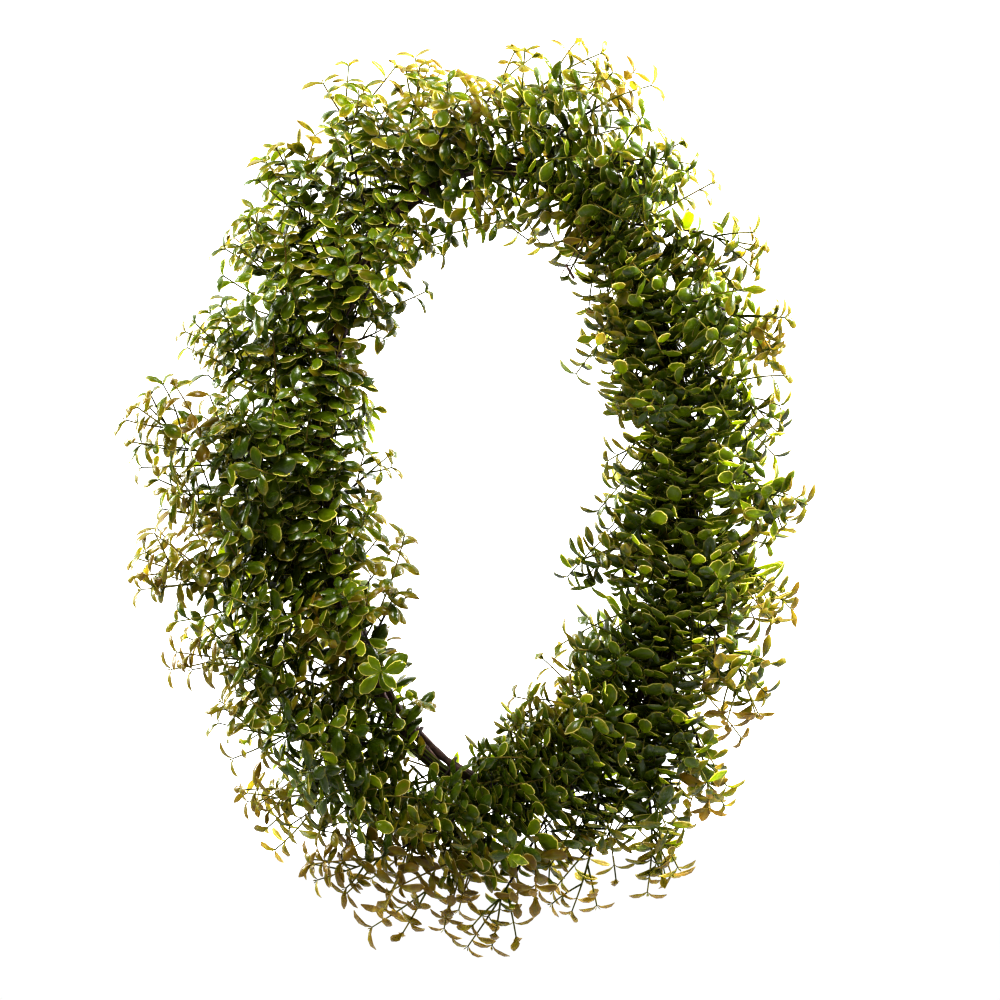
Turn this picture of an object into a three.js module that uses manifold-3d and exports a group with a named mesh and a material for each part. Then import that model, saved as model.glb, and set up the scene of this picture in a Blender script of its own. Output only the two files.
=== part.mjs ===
// An oval boxwood wreath: leafy sprays, each wound by its wire stem on a ring of coiled vine.
// Millimetres, +Z up, and the front faces -Y. The origin is where a hook carries the ring:
// under the bundle of vine, right above the middle of the oval.
import * as THREE from 'three';
import { mergeVertices } from 'three/addons/utils/BufferGeometryUtils.js';
import Module from 'manifold-3d';

const wasm = await Module();
wasm.setup();

const degrees = THREE.MathUtils.degToRad;
const fullTurn = 2 * Math.PI;
const front = new THREE.Vector3(0, -1, 0);
const up = new THREE.Vector3(0, 0, 1);

// Ring: an upright oval bundle of vine, coiled in five lanes that twist round each other
const ringHalfWidth = 151;
const ringHalfHeight = 261;
const ringTilt = degrees(4); // the top leans left
const laneCount = 5;
const twistsPerTurn = 4;
const layRadius = 6.1; // from the middle of the bundle to the middle of a strand
const strandRadius = 3.1;
const strandSides = 5;
const strandStepsPerTurn = 36;
const vineStart = 0.3; // in turns clockwise from the top: where the vines' cut ends lie
const longVineTurns = 3;
const shortVineTurns = laneCount - longVineTurns;
const cutGap = 0.01; // in turns, between the cut ends of the two vines
const bundleRadius = layRadius + strandRadius;
const seatClearance = 0.3;
const bareForHook = 40; // length of ring with no stem wound on it

// Sprays: the root of each wire stem is wound most of a turn round the bundle, then leaves it
const windingTurns = 0.85;
const windingSteps = 5;
const windingRadius = 13.4; // at most
const seatStep = 0.1; // by which a winding is drawn in
const seatGap = 0.4; // most that is left between a winding and the vine
const windingPitch = 4;
const exitRadius = 16.5;
const exitTurn = degrees(18);
const exitAdvance = 2.5;
const stemRadius = 1.8;
const twigRadius = 1.3;
const stemSides = 3;
const stemSteps = 3;
const rootStep = 2;
const rootGap = 10; // least length of ring between two roots
const tipAllowance = 24; // the last leaves reach this far past the end of their stem
const bowOut = 0.12; // of the stem's length, away from the ring
const bowUp = 0.05; // of the stem's length, so that the end droops
const bowSpread = 0.12; // of the stem's length, to either side along the ring

// The furthest points of the foliage, clockwise from the top, as x and z from the oval's middle
const outerTips = [
  [29, 363], [88, 358], [132, 334], [166, 262], [224, 185], [240, 106], [236, 34], [244, -43],
  [232, -118], [214, -204], [176, -286], [120, -354], [54, -374], [-37, -395], [-120, -381],
  [-166, -337], [-228, -270], [-248, -200], [-276, -128], [-308, -56], [-294, 10], [-306, 69],
  [-254, 146], [-222, 222], [-190, 284], [-132, 350], [-62, 354],
];
const outerDepths = [10, -44, -12, -32]; // y of the tips, in turn
const outerLean = degrees(44); // clockwise, from straight out of the ring

// The tips that point into the hole, likewise
const innerTips = [
  [56, 176], [76, 96], [78, -8], [56, -86], [46, -160], [-14, -198], [-68, -172], [-84, -84],
  [-86, 28], [-86, 128], [-38, 194],
];
const innerDepths = [-16, -44, 2];
const innerLean = degrees(32);

// Sprays that point to the front
const frontCount = 9;
const frontReach = 104;
const frontReachLeft = 26; // more on the left, where the foliage is widest, and less on the right
const frontLean = degrees(46);
const frontAngles = [50, 105].map(degrees); // in turn
const frontFan = degrees(10);
const frontSpread = 0.1; // how far their lengths differ

// Side twigs: where each leaves the stem, its length as a share of the stem's, and its fork
const sideTwigs = [
  { station: 1, share: 0.42, fork: degrees(48), side: 1 }, // towards the ring
  { station: 2, share: 0.24, fork: degrees(36), side: -1 },
];
const forkRoll = degrees(35); // most that a side twig is turned about the stem
const forkSpread = 0.15;
const twigSpread = 0.1; // how far side twigs differ in length

// Leaves, larger than life so that they cover the ring
const leafLength = 36;
const leafWidth = 22;
const leafThickness = 1.7;
const leafStations = [
  { along: 0, wide: 0, thick: 0 },
  { along: 0.32, wide: 0.82, thick: 1 },
  { along: 0.74, wide: 0.9, thick: 0.8 },
  { along: 1, wide: 0, thick: 0 },
];
const leafSpread = 0.16; // how far leaves differ in size
const leafArch = 0.16;
const leafRoot = 0.2; // from the middle of the twig
const leafFork = degrees(52); // between a leaf and its twig
const lastLeafFork = degrees(36);
const lastLeafSize = 0.7; // of the others
const faceTwist = degrees(62); // of a leaf that lies to the side, so that its face looks forward
const pairTurn = degrees(36); // pairs are turned in and out of the ring's plane by turns
const azimuthSpread = degrees(40);
const leafGap = 0.35; // kept clear between a leaf and the next spray
const pairStep = 42; // between two pairs on a twig
const lastPair = 4; // from the twig's end
const barePart = 12; // of the twig, at its foot
const bendTries = [0, 22, -22, 44, -44, 68, -68, 90].map(degrees);
const joinTolerance = 0.08; // for the seams of what is fused

// A repeatable draw between 0 and 1, the same each time for the same piece and kind
function draw(piece, kind) {
  const wave = Math.sin(piece * 12.9898 + kind * 78.233) * 43758.5453;
  return wave - Math.floor(wave);
}

// A repeatable factor between 1 - spread and 1 + spread
function factor(spread, piece, kind) {
  return 1 + spread * (2 * draw(piece, kind) - 1);
}

// The ring's middle line at a clockwise angle from the top of the upright oval
function ringAt(clock, middleZ) {
  const x = ringHalfWidth * Math.sin(clock);
  const z = ringHalfHeight * Math.cos(clock);
  const slopeX = ringHalfWidth * Math.cos(clock);
  const slopeZ = -ringHalfHeight * Math.sin(clock);
  const cos = Math.cos(ringTilt);
  const sin = Math.sin(ringTilt);
  const point = new THREE.Vector3(x * cos - z * sin, 0, x * sin + z * cos + middleZ);
  const along = new THREE.Vector3(slopeX * cos - slopeZ * sin, 0, slopeX * sin + slopeZ * cos);
  along.normalize();
  const out = new THREE.Vector3(-along.z, 0, along.x);
  return { point, along, out };
}

// The hook is right above the oval's middle
const hookClock = Math.atan(ringHalfHeight / ringHalfWidth * Math.tan(ringTilt));
const ringMiddleZ = bundleRadius + seatClearance - ringAt(hookClock, 0).point.z;

class RingLine extends THREE.Curve {
  getPoint(turn) {
    return ringAt(hookClock + fullTurn * turn, ringMiddleZ).point;
  }
}

const ringLine = new RingLine();
ringLine.arcLengthDivisions = 720;
const ringLength = ringLine.getLength();

// The ring's frame at a length along it, clockwise from the hook
function frameAt(arc) {
  const wrapped = THREE.MathUtils.euclideanModulo(arc, ringLength);
  const turn = ringLine.getUtoTmapping(0, wrapped);
  return ringAt(hookClock + fullTurn * turn, ringMiddleZ);
}

// A point round the bundle: angle 0 is away from the oval's middle, a quarter turn is the front
function bundlePoint(arc, angle, radius) {
  const ring = frameAt(arc);
  return ring.point
    .addScaledVector(ring.out, radius * Math.cos(angle))
    .addScaledVector(front, radius * Math.sin(angle));
}

// A tube of few sides whose rings stand exactly at the path's own stations
function tube(path, steps, radius, sides) {
  path.getPointAt = path.getPoint;
  path.getTangentAt = path.getTangent;
  const corners = Array.from({ length: sides }, (_, i) => new THREE.Vector2(
    radius * Math.cos(fullTurn * i / sides),
    radius * Math.sin(fullTurn * i / sides),
  ));
  const section = new THREE.Shape(corners);
  return new THREE.ExtrudeGeometry(section, { steps, bevelEnabled: false, extrudePath: path });
}

function solidFrom(geometry) {
  const bare = geometry.clone();
  bare.deleteAttribute('normal');
  bare.deleteAttribute('uv');
  const merged = mergeVertices(bare);
  return new wasm.Manifold(new wasm.Mesh({
    numProp: 3,
    vertProperties: new Float32Array(merged.attributes.position.array),
    triVerts: new Uint32Array(merged.index.array),
  }));
}

function geometryFrom(solid) {
  const mesh = solid.getMesh();
  const geometry = new THREE.BufferGeometry();
  geometry.setAttribute('position', new THREE.BufferAttribute(mesh.vertProperties, 3));
  geometry.setIndex(new THREE.BufferAttribute(mesh.triVerts, 1));
  return geometry;
}

// One strand of vine, which changes lane once a turn, so that its turns lie beside each other
class Strand extends THREE.Curve {
  constructor(firstTurn, turns) {
    super();
    this.firstTurn = firstTurn;
    this.turns = turns;
  }

  getPoint(share) {
    const turn = this.firstTurn + share * this.turns;
    const lane = fullTurn * (twistsPerTurn + 1 / laneCount) * turn;
    const ring = ringAt(fullTurn * turn, ringMiddleZ);
    return ring.point
      .addScaledVector(ring.out, layRadius * Math.cos(lane))
      .addScaledVector(front, layRadius * Math.sin(lane));
  }
}

function vine(firstTurn, turns) {
  const steps = Math.round(turns * strandStepsPerTurn);
  return tube(new Strand(firstTurn, turns), steps, strandRadius, strandSides);
}

// Sprays in the order of their roots. Each root stands so far back from its tip that the stem
// leans clockwise, and gives way where two roots would meet.
function nearestArc(target) {
  let nearest = 0;
  let least = Infinity;
  for (let arc = 0; arc < ringLength; arc += rootStep) {
    const reach = frameAt(arc).point.distanceTo(target);
    if (reach < least) [nearest, least] = [arc, reach];
  }
  return nearest;
}

function leanFrom(arc, target) {
  const ring = frameAt(arc);
  const aim = target.clone().sub(ring.point).normalize();
  return Math.asin(aim.dot(ring.along));
}

function aimedSpray([x, z], depth, lean) {
  const target = new THREE.Vector3(x, 0, z + ringMiddleZ);
  let arc = nearestArc(target);
  while (leanFrom(arc, target) < lean) arc -= rootStep;
  return { wanted: THREE.MathUtils.euclideanModulo(arc, ringLength), tip: target.setY(depth) };
}

function sprayPlan() {
  const sprays = [
    ...outerTips.map((tip, i) => aimedSpray(tip, outerDepths[i % outerDepths.length], outerLean)),
    ...innerTips.map((tip, i) => aimedSpray(tip, innerDepths[i % innerDepths.length], innerLean)),
  ];
  for (let i = 0; i < frontCount; i += 1) {
    const wanted = (i + 0.5) * ringLength / frontCount;
    sprays.push({ wanted, tip: null, turn: i % frontAngles.length });
  }
  sprays.sort((a, b) => a.wanted - b.wanted);
  let least = bareForHook / 2;
  for (const spray of sprays) {
    spray.arc = Math.max(spray.wanted, least);
    least = spray.arc + rootGap;
  }
  let most = ringLength - bareForHook / 2;
  for (const spray of [...sprays].reverse()) {
    spray.arc = Math.min(spray.arc, most);
    most = spray.arc - rootGap;
  }
  sprays.forEach((spray, i) => {
    spray.number = i + 1;
    const ring = frameAt(spray.arc);
    if (spray.tip === null) {
      const angle = frontAngles[spray.turn] + frontFan * (2 * draw(spray.number, 1) - 1);
      const reach = frontReach * factor(frontSpread, spray.number, 2)
        - frontReachLeft * ring.point.x / ringHalfWidth;
      spray.tip = ring.point.clone()
        .addScaledVector(ring.out, reach * Math.cos(frontLean) * Math.cos(angle))
        .addScaledVector(front, reach * Math.cos(frontLean) * Math.sin(angle))
        .addScaledVector(ring.along, reach * Math.sin(frontLean));
    }
    const aim = spray.tip.clone().sub(ring.point);
    spray.exitAngle = Math.atan2(aim.dot(front), aim.dot(ring.out));
  });
  return sprays;
}

// The stations of a spray's winding round the bundle, up to where the stem leaves it
function windingStations(spray, radius) {
  const stations = [];
  for (let i = 0; i <= windingSteps; i += 1) {
    const back = windingTurns * (i / windingSteps - 1);
    stations.push(bundlePoint(
      spray.arc + back * windingPitch,
      spray.exitAngle + back * fullTurn,
      radius,
    ));
  }
  return stations;
}

// The stations of a spray's stem, on a bowed line to its tip
function stemStations(spray) {
  const exit = bundlePoint(spray.arc + exitAdvance, spray.exitAngle + exitTurn, exitRadius);
  const ring = frameAt(spray.arc);
  const whole = exit.distanceTo(spray.tip);
  const end = exit.clone().lerp(spray.tip, 1 - tipAllowance / whole);
  const length = exit.distanceTo(end);
  const bow = exit.clone().lerp(end, 0.5)
    .addScaledVector(ring.out, bowOut * length * Math.cos(spray.exitAngle))
    .addScaledVector(front, bowOut * length * Math.sin(spray.exitAngle))
    .addScaledVector(up, bowUp * length)
    .addScaledVector(ring.along, bowSpread * length * (draw(spray.number, 3) - 0.5));
  const curve = new THREE.QuadraticBezierCurve3(exit, bow, end);
  return { stem: curve.getPoints(stemSteps), length };
}

// A side twig forks from a station of the stem
function twigStations(spray, stem, length, twig, kind) {
  const foot = stem[twig.station];
  const way = stem[twig.station + 1].clone().sub(foot).normalize();
  const side = new THREE.Vector3().crossVectors(front, way).normalize();
  const roll = forkRoll * (2 * draw(spray.number, 10 + kind) - 1);
  const towardsRing = Math.cos(spray.exitAngle) > 0 ? -1 : 1;
  side.applyAxisAngle(way, roll).multiplyScalar(twig.side * towardsRing);
  const axis = new THREE.Vector3().crossVectors(way, side).normalize();
  const fork = twig.fork * factor(forkSpread, spray.number, 20 + kind);
  const reach = length * twig.share * factor(twigSpread, spray.number, 30 + kind);
  return [foot.clone(), foot.clone().addScaledVector(way.applyAxisAngle(axis, fork), reach)];
}

function wire(stations, radius) {
  return tube(new THREE.CatmullRomCurve3(stations), stations.length - 1, radius, stemSides);
}

// A leaf along Y, with its face towards Z: a ball of two three-cornered rings and two points,
// drawn out to a ridged blade and arched along. Twist turns its face about its own length.
function leafGeometry(size, twist, margin) {
  const geometry = new THREE.SphereGeometry(1, 3, leafStations.length - 1);
  const place = geometry.attributes.position;
  const ringRadius = Math.sin(Math.PI / 3); // also half the width of a ring's triangle
  const triangleHeight = 1.5;
  for (let i = 0; i < place.count; i += 1) {
    const station = Math.round((place.getY(i) + 1) / 2 * (leafStations.length - 1));
    const { along, wide, thick } = leafStations[station];
    const across = place.getZ(i) / ringRadius ** 2 * (leafWidth / 2 * size * wide + margin);
    const rise = -place.getX(i) / ringRadius * (leafThickness / triangleHeight * thick + margin);
    const length = (leafLength * size + margin) * along;
    const height = rise * Math.cos(twist) + across * Math.sin(twist) - leafArch * length * along;
    place.setXYZ(i, across * Math.cos(twist) - rise * Math.sin(twist), length, height);
  }
  return geometry;
}

// The leaf on its twig, turned about the twig by its azimuth and its bend
function leafInPlace({ foot, way, azimuth, fork }, bend, size, margin) {
  const across = new THREE.Vector3().crossVectors(way, front);
  across.normalize().applyAxisAngle(way, azimuth + bend);
  const side = new THREE.Vector3().crossVectors(across, way);
  const line = across.clone().multiplyScalar(Math.sin(fork)).addScaledVector(way, Math.cos(fork));
  const face = new THREE.Vector3().crossVectors(side, line);
  const twist = -faceTwist * side.dot(front);
  const root = foot.clone().addScaledVector(line, leafRoot);
  const matrix = new THREE.Matrix4().makeBasis(side, line, face).setPosition(root);
  return leafGeometry(size, twist, margin).applyMatrix4(matrix);
}

// Everything already in place, so that leaves can be bent clear of the other sprays
const placed = [];

function put(owner, solid) {
  const { min, max } = solid.boundingBox();
  const box = new THREE.Box3(new THREE.Vector3(...min), new THREE.Vector3(...max));
  placed.push({ owner, solid, box });
  return solid;
}

function isClear(owner, geometry) {
  geometry.computeBoundingBox();
  const near = placed.filter((other) => (
    other.owner !== owner && other.box.intersectsBox(geometry.boundingBox)
  ));
  const solid = solidFrom(geometry);
  const clear = near.every((other) => {
    const shared = solid.intersect(other.solid);
    const empty = shared.isEmpty();
    shared.delete();
    return empty;
  });
  solid.delete();
  return clear;
}

// The winding is drawn in until it nearly lies on the vine
function seatedWinding(spray, stem) {
  let radius = windingRadius;
  const fits = (tried) => isClear(
    spray.number,
    wire([...windingStations(spray, tried), ...stem], stemRadius + seatGap),
  );
  while (fits(radius - seatStep)) radius -= seatStep;
  return windingStations(spray, radius);
}

// A leaf is turned about its twig until it is clear, or is left out
function addLeaf(spray, seat, kind) {
  const size = seat.share * factor(leafSpread, spray.number, kind);
  for (const bend of bendTries) {
    if (isClear(spray.number, leafInPlace(seat, bend, size, leafGap))) {
      const solid = solidFrom(leafInPlace(seat, bend, size, 0));
      spray.solids.push(put(spray.number, solid));
      return;
    }
  }
}

// Opposite pairs at even steps back from the twig's end. Every twig has at least one.
function addPairs(spray, stations, kind) {
  const lengths = stations.slice(1).map((station, i) => station.distanceTo(stations[i]));
  const length = lengths.reduce((sum, part) => sum + part);
  for (let i = 0; lastPair + i * pairStep < Math.max(length - barePart, lastPair + 1); i += 1) {
    let left = length - lastPair - i * pairStep;
    let part = 0;
    while (left > lengths[part]) {
      left -= lengths[part];
      part += 1;
    }
    const way = stations[part + 1].clone().sub(stations[part]).normalize();
    const foot = stations[part].clone().addScaledVector(way, left);
    const azimuth = (i % 2 === 0 ? pairTurn : -pairTurn)
      + azimuthSpread * (draw(spray.number, kind + i) - 0.5);
    const fork = i === 0 ? lastLeafFork : leafFork;
    const share = i === 0 ? lastLeafSize : 1;
    addLeaf(spray, { foot, way, azimuth, fork, share }, kind + 10 + i);
    addLeaf(spray, { foot, way, azimuth: azimuth + Math.PI, fork, share }, kind + 20 + i);
  }
}

// The pieces of a spray as one body, in which every hollow that fusing seals is filled
function fused(solids) {
  const whole = solids.reduce((body, solid) => body.add(solid));
  const bodies = whole.asOriginal().simplify(joinTolerance).decompose();
  return bodies.reduce((best, body) => (body.volume() > best.volume() ? body : best));
}

const vines = [
  { name: 'vine_long', geometry: vine(vineStart, longVineTurns - cutGap) },
  { name: 'vine_short', geometry: vine(vineStart + longVineTurns, shortVineTurns - cutGap) },
];
vines.forEach((piece) => put(piece.name, solidFrom(piece.geometry)));

const sprays = sprayPlan();
for (const spray of sprays) {
  const { stem, length } = stemStations(spray);
  spray.stem = stem;
  spray.twigs = sideTwigs.map((twig, i) => twigStations(spray, stem, length, twig, i));
  const lines = [
    wire([...seatedWinding(spray, stem), ...stem], stemRadius),
    ...spray.twigs.map((stations) => wire(stations, twigRadius)),
  ];
  spray.solids = lines.map((line) => put(spray.number, solidFrom(line)));
}
for (const spray of sprays) {
  addPairs(spray, spray.stem, 100);
  spray.twigs.forEach((stations, i) => addPairs(spray, stations, 200 + 100 * i));
}

const vineMaterial = new THREE.MeshStandardMaterial({ color: 0x5a3d2c, roughness: 0.85 });
const leafMaterial = new THREE.MeshStandardMaterial({ color: 0x4d6a1f, roughness: 0.45 });

const wreath = new THREE.Group();
for (const piece of vines) {
  const mesh = new THREE.Mesh(piece.geometry, vineMaterial);
  mesh.name = piece.name;
  wreath.add(mesh);
}
for (const spray of sprays) {
  const mesh = new THREE.Mesh(geometryFrom(fused(spray.solids)), leafMaterial);
  mesh.name = `spray_${String(spray.number).padStart(2, '0')}`;
  wreath.add(mesh);
}

export default wreath;
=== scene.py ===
import math
import random
import bmesh
import bpy
import numpy as np
from mathutils import Matrix, Vector, noise


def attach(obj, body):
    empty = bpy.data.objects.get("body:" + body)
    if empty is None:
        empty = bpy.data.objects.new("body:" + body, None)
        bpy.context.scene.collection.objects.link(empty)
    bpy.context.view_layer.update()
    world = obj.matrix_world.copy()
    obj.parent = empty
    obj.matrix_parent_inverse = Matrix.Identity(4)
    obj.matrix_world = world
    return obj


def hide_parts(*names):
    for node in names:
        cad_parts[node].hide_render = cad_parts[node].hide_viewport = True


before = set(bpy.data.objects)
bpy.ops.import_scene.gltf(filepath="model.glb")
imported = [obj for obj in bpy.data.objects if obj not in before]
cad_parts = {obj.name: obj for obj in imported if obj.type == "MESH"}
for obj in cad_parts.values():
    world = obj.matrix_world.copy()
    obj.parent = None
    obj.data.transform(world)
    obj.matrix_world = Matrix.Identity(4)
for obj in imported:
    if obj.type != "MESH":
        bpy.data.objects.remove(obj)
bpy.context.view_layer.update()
print("frame loaded:", len(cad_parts), "nodes")

mm = 0.001
fullTurn = 2 * math.pi
front = np.array([0.0, -1.0, 0.0])
up = np.array([0.0, 0.0, 1.0])
nearlyFront = front + 0.01 * up  # crosses with a line that runs straight to the front too

# The ring's middle line, in millimetres, clockwise from where the hook carries it
ring = {
    "halfWidth": 151, "halfHeight": 261, "tilt": math.radians(4),
    "lanes": 5, "twists": 4, "layRadius": 6.1, "strandRadius": 3.1,  # of the bundle of vine
    "vineStart": 0.3, "longTurns": 3, "cutGap": 0.01,  # in turns round the ring
    "seatClearance": 0.3, "bareForHook": 40, "divisions": 720,
}


def unit(vector):
    return vector / np.linalg.norm(vector)


def turned(vector, axis, angle):
    cos, sin = math.cos(angle), math.sin(angle)
    return vector * cos + np.cross(axis, vector) * sin + axis * np.dot(axis, vector) * (1 - cos)


def eitherWay(rng, most):
    return rng.uniform(-most, most)


def ringAt(clock, middleZ=0.0):
    x, z = ring["halfWidth"] * math.sin(clock), ring["halfHeight"] * math.cos(clock)
    slopeX, slopeZ = ring["halfWidth"] * math.cos(clock), -ring["halfHeight"] * math.sin(clock)
    cos, sin = math.cos(ring["tilt"]), math.sin(ring["tilt"])
    point = np.array([x * cos - z * sin, 0.0, x * sin + z * cos + middleZ])
    along = unit(np.array([slopeX * cos - slopeZ * sin, 0.0, slopeX * sin + slopeZ * cos]))
    out = np.array([-along[2], 0.0, along[0]])
    return point, along, out


bundleRadius = ring["layRadius"] + ring["strandRadius"]
hookClock = math.atan(ring["halfHeight"] / ring["halfWidth"] * math.tan(ring["tilt"]))
ringMiddleZ = bundleRadius + ring["seatClearance"] - ringAt(hookClock)[0][2]
ringTurns = np.linspace(0, 1, ring["divisions"] + 1)
ringPoints = np.array([ringAt(hookClock + fullTurn * turn, ringMiddleZ)[0] for turn in ringTurns])
ringSteps = np.linalg.norm(np.diff(ringPoints, axis=0), axis=1)
ringLengths = np.concatenate([[0.0], np.cumsum(ringSteps)])
ringLength = ringLengths[-1]


def frameAt(arc):
    turn = np.interp(arc % ringLength, ringLengths, ringTurns)
    return ringAt(hookClock + fullTurn * turn, ringMiddleZ)


def bundlePoint(arc, angle, radius):
    # round the bundle: angle 0 is outwards and a quarter turn is the front
    point, along, out = frameAt(arc)
    return point + radius * math.cos(angle) * out + radius * math.sin(angle) * front


def fromRing(point):
    return np.min(np.linalg.norm(ringPoints - point, axis=1))


# Where each spray is wound on the ring, and where its tip lies from the ring's middle
plan = {
    "outerTips": [
        (29, 363), (88, 358), (132, 334), (166, 262), (224, 185), (240, 106), (236, 34),
        (244, -43), (232, -118), (214, -204), (176, -286), (120, -354), (54, -374), (-37, -395),
        (-120, -381), (-166, -337), (-228, -270), (-248, -200), (-276, -128), (-308, -56),
        (-294, 10), (-306, 69), (-254, 146), (-222, 222), (-190, 284), (-132, 350), (-62, 354),
    ],
    "outerDepths": [10, -44, -12, -32],
    "outerLean": math.radians(44),
    "innerTips": [
        (56, 176), (76, 96), (78, -8), (56, -86), (46, -160), (-14, -198), (-68, -172),
        (-84, -84), (-86, 28), (-86, 128), (-38, 194),
    ],
    "innerDepths": [-16, -44, 2],
    "innerLean": math.radians(32),
    "frontCount": 9, "frontReach": 104, "frontReachLeft": 26, "frontLean": math.radians(46),
    "frontAngles": [math.radians(50), math.radians(105)], "frontFan": math.radians(10),
    "frontSpread": 0.1, "rootStep": 2, "rootGap": 10,
}
drawing = {"piece": 12.9898, "kind": 78.233, "scale": 43758.5453}


def draw(piece, kind):
    # a share from 0 to 1 by a fixed rule, the one that the solids are made with
    wave = math.sin(piece * drawing["piece"] + kind * drawing["kind"]) * drawing["scale"]
    return wave - math.floor(wave)


def factor(spread, piece, kind):
    return 1 + spread * (2 * draw(piece, kind) - 1)


rootArcs = np.arange(0, ringLength, plan["rootStep"])
rootPoints = np.array([frameAt(arc)[0] for arc in rootArcs])


def aimedSpray(place, depth, lean):
    # its root goes back along the ring until the spray leans forward enough
    target = np.array([place[0], 0.0, place[1] + ringMiddleZ])
    arc = rootArcs[int(np.argmin(np.linalg.norm(rootPoints - target, axis=1)))]
    while True:
        point, along, out = frameAt(arc)
        if math.asin(np.dot(unit(target - point), along)) >= lean:
            break
        arc -= plan["rootStep"]
    tip = np.array([place[0], depth, place[1] + ringMiddleZ])
    return {"wanted": arc % ringLength, "tip": tip}


def sprayPlan():
    sprays = []
    for kind in ("outer", "inner"):
        depths = plan[kind + "Depths"]
        for i, place in enumerate(plan[kind + "Tips"]):
            sprays.append(aimedSpray(place, depths[i % len(depths)], plan[kind + "Lean"]))
    for i in range(plan["frontCount"]):
        wanted = (i + 0.5) * ringLength / plan["frontCount"]
        sprays.append({"wanted": wanted, "tip": None, "turn": i % 2})
    sprays.sort(key=lambda spray: spray["wanted"])
    least = ring["bareForHook"] / 2
    for spray in sprays:
        spray["arc"] = max(spray["wanted"], least)
        least = spray["arc"] + plan["rootGap"]
    most = ringLength - ring["bareForHook"] / 2
    for spray in reversed(sprays):
        spray["arc"] = min(spray["arc"], most)
        most = spray["arc"] - plan["rootGap"]
    for i, spray in enumerate(sprays):
        number = spray["number"] = i + 1
        point, along, out = frameAt(spray["arc"])
        if spray["tip"] is None:
            fan = plan["frontFan"] * (2 * draw(number, 1) - 1)
            angle = plan["frontAngles"][spray["turn"]] + fan
            reach = plan["frontReach"] * factor(plan["frontSpread"], number, 2)
            reach -= plan["frontReachLeft"] * point[0] / ring["halfWidth"]
            flat = reach * math.cos(plan["frontLean"])
            spray["tip"] = (point + flat * math.cos(angle) * out + flat * math.sin(angle) * front
                            + reach * math.sin(plan["frontLean"]) * along)
        aim = spray["tip"] - point
        spray["exitAngle"] = math.atan2(np.dot(aim, front), np.dot(aim, out))
        following = sprays[number % len(sprays)]
        spray["span"] = (following["arc"] - spray["arc"]) % ringLength
    return sprays


# How far from the centre the foliage starts, gets dense, thins and ends, as seen from the front,
# at every sector clockwise from the top. Set by trial renders, so two came out negative
outline = {
    "centre": (-4, -256), "sector": 15, "margin": 7,
    "inner": [176, 173, 100, 83, 110, 177, 89, 34, 49, 44, -15, 76, 236, 293, 124, 162, 51, 77,
              106, 151, 110, 174, 134, 182],
    "innerDense": [286, 234, 200, 137, 100, 139, 97, 84, 131, -47, 87, 206, 175, 252, 168, 228,
                   161, 151, 106, 99, 122, 171, 250, 303],
    "outerDense": [319, 339, 333, 357, 281, 301, 305, 327, 346, 250, 389, 321, 349, 298, 444, 330,
                   356, 335, 314, 332, 309, 378, 417, 310],
    "outer": [381, 371, 265, 272, 277, 269, 234, 259, 307, 328, 312, 417, 375, 394, 334, 345, 279,
              289, 284, 336, 303, 390, 360, 410],
}
depthLimits = {"front": -92, "back": 50, "twigFront": -78, "twigBack": 36}
edgeReach = {"least": 20, "full": 108, "most": 1.3, "holeShare": 0.74, "holeMost": 0.8}


def outlineAt(point, *keys):
    x, z = point[0] - outline["centre"][0], point[2] - outline["centre"][1]
    place = (math.degrees(math.atan2(x, z)) % 360) / outline["sector"]
    found = [math.hypot(x, z)]
    for key in keys:
        limits = outline[key] + outline[key][:1]
        found.append(np.interp(place, range(len(limits)), limits))
    return found


def towardsEdge(point):
    # 0 on the ring's middle line, 1 where the foliage starts to thin out
    radius, inner, outer = outlineAt(point, "innerDense", "outerDense")
    beyond = fromRing(np.array([point[0], 0.0, point[2]]))
    if radius < (inner + outer) / 2:
        whole = max(beyond + radius - inner, edgeReach["least"])
        return min(edgeReach["holeShare"] * beyond / whole, edgeReach["holeMost"])
    whole = max(beyond + outer - radius, edgeReach["least"])
    return min(max(beyond / whole, beyond / edgeReach["full"]), edgeReach["most"])


def isInside(point, share):
    radius, low, lowDense, highDense, high = outlineAt(
        point, "inner", "innerDense", "outerDense", "outer")
    least = lowDense + (low - lowDense) * share + outline["margin"]
    most = highDense + (high - highDense) * share - outline["margin"]
    inDepth = depthLimits["twigFront"] < point[1] < depthLimits["twigBack"]
    return inDepth and least < radius < most


# One spray's lines: the wound wire stem, and the twigs that fork from it
stem = {
    "seed": 1000, "windingTurns": 0.85, "windingPitch": 4, "windingRadius": 11.0,
    "windingSteps": 22, "exitRadius": 16.5, "exitTurn": math.radians(18), "exitAdvance": 2.5,
    "tipAllowance": 24, "bowOut": 0.12, "bowUp": 0.05, "bowSpread": 0.12, "steps": 15,
    "extra": 10, "radius": 1.35, "endRadius": 0.55,
    "brownShare": 0.52, "brownTaper": 0.8, "greenShare": 0.72, "bareShare": 0.34,
    "greenAges": (0.1, 0.6),
}
twigs = {  # all of them, and the two of each spray that the solids have
    "steps": 7, "radius": 0.9, "endRadius": 0.6, "follow": 0.30, "sag": 0.06, "sway": 0.05,
    "shortest": 20, "cutBack": 0.86, "thinner": 0.5, "thinFrom": 0.5,
    "made": [{"share": 1 / 3, "long": 0.42, "fork": math.radians(48), "side": 1},
             {"share": 2 / 3, "long": 0.24, "fork": math.radians(36), "side": -1}],
    "roll": math.radians(35), "forkSpread": 0.15, "longSpread": 0.1, "extra": 9,
}
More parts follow.
